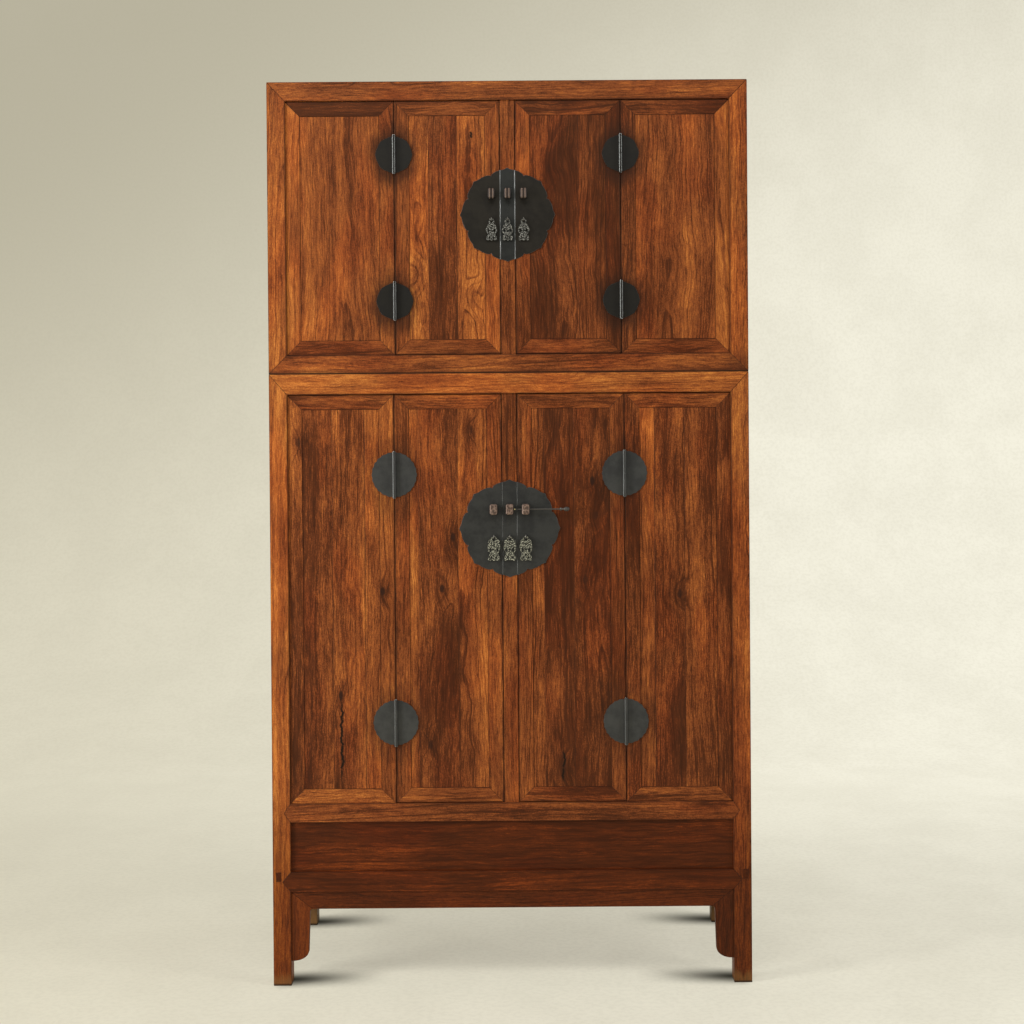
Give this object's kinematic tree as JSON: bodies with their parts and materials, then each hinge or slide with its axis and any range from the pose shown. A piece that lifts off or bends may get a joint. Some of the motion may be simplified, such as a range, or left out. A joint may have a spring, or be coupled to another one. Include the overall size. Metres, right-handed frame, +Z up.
{
  "type": "compound wardrobe",
  "caption": "Tall hardwood wardrobe: a top chest on a cabinet, each with hinged doors, fixed leaves and a lift-out centre stile under round iron lock plates with pulls.",
  "frame": {"origin": "centre of the bounding box at the floor", "axes": "+Z up, front faces -Y, +X to the viewer's right seen from the front"},
  "size_m": [1.39, 0.641, 2.62],
  "materials": {
    "frame_wood": "satin",
    "leaf_wood": "satin",
    "panel_wood": "satin",
    "case_panel_wood": "satin",
    "inner_wood": "matte",
    "upper_iron": "satin",
    "lower_iron": "satin",
    "hinge_barrel": "polished",
    "worn_iron": "worn",
    "pull_metal": "worn",
    "rod_iron": "worn"
  },
  "bodies": {
    "lower_cabinet": {"lower_posts": "frame_wood", "lower_top_rails": "frame_wood", "lower_top_panel": "case_panel_wood", "lower_sill_rails": "frame_wood", "lower_base_rails": "frame_wood", "lower_side_panels": "case_panel_wood", "lower_back_panels": "case_panel_wood", "lower_side_leaves": "leaf_wood", "lower_shelf": "inner_wood", "compartment_floor": "inner_wood", "compartment_front_panel": "frame_wood", "front_apron": "frame_wood", "side_aprons": "frame_wood", "lower_fixed_hinge_leaves": "lower_iron", "lower_hinge_pins": "hinge_barrel"},
    "left_lid": {"compartment_lid_left": "inner_wood"},
    "right_lid": {"compartment_lid_right": "inner_wood"},
    "lower_left_door": {"lower_left_door_frame": "leaf_wood", "lower_left_door_panel": "panel_wood", "lower_left_door_hinges": "lower_iron", "lower_left_lock_plate": "lower_iron", "lower_left_staples": "worn_iron"},
    "lower_right_door": {"lower_right_door_frame": "leaf_wood", "lower_right_door_panel": "panel_wood", "lower_right_door_hinges": "lower_iron", "lower_right_lock_plate": "lower_iron", "lower_right_staples": "worn_iron"},
    "lower_centre": {"lower_centre_stile": "leaf_wood", "lower_centre_lock_plate": "lower_iron", "lower_centre_staples": "worn_iron"},
    "lower_left_pull_swing": {"lower_left_pull": "pull_metal"},
    "lower_centre_pull_swing": {"lower_centre_pull": "pull_metal"},
    "lower_right_pull_swing": {"lower_right_pull": "pull_metal"},
    "upper_chest": {"upper_posts": "frame_wood", "upper_top_rails": "frame_wood", "upper_top_panel": "case_panel_wood", "upper_bottom_rails": "frame_wood", "upper_floor": "inner_wood", "upper_side_panels": "case_panel_wood", "upper_back_panels": "case_panel_wood", "upper_side_leaves": "leaf_wood", "upper_fixed_hinge_leaves": "upper_iron", "upper_hinge_pins": "hinge_barrel"},
    "upper_left_door": {"upper_left_door_frame": "leaf_wood", "upper_left_door_panel": "panel_wood", "upper_left_door_hinges": "upper_iron", "upper_left_lock_plate": "upper_iron", "upper_left_staples": "worn_iron"},
    "upper_right_door": {"upper_right_door_frame": "leaf_wood", "upper_right_door_panel": "panel_wood", "upper_right_door_hinges": "upper_iron", "upper_right_lock_plate": "upper_iron", "upper_right_staples": "worn_iron"},
    "upper_centre": {"upper_centre_stile": "leaf_wood", "upper_centre_lock_plate": "upper_iron", "upper_centre_staples": "worn_iron"},
    "upper_left_pull_swing": {"upper_left_pull": "pull_metal"},
    "upper_centre_pull_swing": {"upper_centre_pull": "pull_metal"},
    "upper_right_pull_swing": {"upper_right_pull": "pull_metal"},
    "rod": {"lock_rod": "rod_iron"}
  },
  "joints": [
    {"name": "chest_lift", "type": "slide", "parent": "lower_cabinet", "child": "upper_chest", "axis": [0, 0, 1], "range_m": [0, 0.15]},
    {"name": "left_lid_lift", "type": "slide", "parent": "lower_cabinet", "child": "left_lid", "axis": [0, 0, 1], "range_m": [0, 0.25]},
    {"name": "right_lid_lift", "type": "slide", "parent": "lower_cabinet", "child": "right_lid", "axis": [0, 0, 1], "range_m": [0, 0.25]},
    {"name": "lower_left_door_hinge", "type": "hinge", "parent": "lower_cabinet", "child": "lower_left_door", "pos_m": [-0.334, -0.3003, 0], "axis": [0, 0, -1], "range_deg": [0, 160]},
    {"name": "lower_right_door_hinge", "type": "hinge", "parent": "lower_cabinet", "child": "lower_right_door", "pos_m": [0.334, -0.3003, 0], "axis": [0, 0, 1], "range_deg": [0, 160]},
    {"name": "lower_stile_lift", "type": "slide", "parent": "lower_cabinet", "child": "lower_centre", "axis": [0, 0, 1], "range_m": [0, 0.012]},
    {"name": "lower_left_pull_hinge", "type": "hinge", "parent": "lower_left_door", "child": "lower_left_pull_swing", "pos_m": [-0.0465, -0.3015, 1.3], "axis": [-1, 0, 0], "range_deg": [0, 70]},
    {"name": "lower_centre_pull_hinge", "type": "hinge", "parent": "lower_centre", "child": "lower_centre_pull_swing", "pos_m": [0, -0.3015, 1.3], "axis": [-1, 0, 0], "range_deg": [0, 70]},
    {"name": "lower_right_pull_hinge", "type": "hinge", "parent": "lower_right_door", "child": "lower_right_pull_swing", "pos_m": [0.0465, -0.3015, 1.3], "axis": [-1, 0, 0], "range_deg": [0, 70]},
    {"name": "upper_left_door_hinge", "type": "hinge", "parent": "upper_chest", "child": "upper_left_door", "pos_m": [-0.328, -0.3003, 0], "axis": [0, 0, -1], "range_deg": [0, 160]},
    {"name": "upper_right_door_hinge", "type": "hinge", "parent": "upper_chest", "child": "upper_right_door", "pos_m": [0.328, -0.3003, 0], "axis": [0, 0, 1], "range_deg": [0, 160]},
    {"name": "upper_stile_lift", "type": "slide", "parent": "upper_chest", "child": "upper_centre", "axis": [0, 0, 1], "range_m": [0, 0.012]},
    {"name": "upper_left_pull_hinge", "type": "hinge", "parent": "upper_left_door", "child": "upper_left_pull_swing", "pos_m": [-0.0465, -0.3015, 2.22], "axis": [-1, 0, 0], "range_deg": [0, 70]},
    {"name": "upper_centre_pull_hinge", "type": "hinge", "parent": "upper_centre", "child": "upper_centre_pull_swing", "pos_m": [0, -0.3015, 2.22], "axis": [-1, 0, 0], "range_deg": [0, 70]},
    {"name": "upper_right_pull_hinge", "type": "hinge", "parent": "upper_right_door", "child": "upper_right_pull_swing", "pos_m": [0.0465, -0.3015, 2.22], "axis": [-1, 0, 0], "range_deg": [0, 70]},
    {"name": "rod_slide", "type": "slide", "parent": "lower_right_door", "child": "rod", "axis": [-1, 0, 0], "range_m": [0, 0.083]}
  ]
}
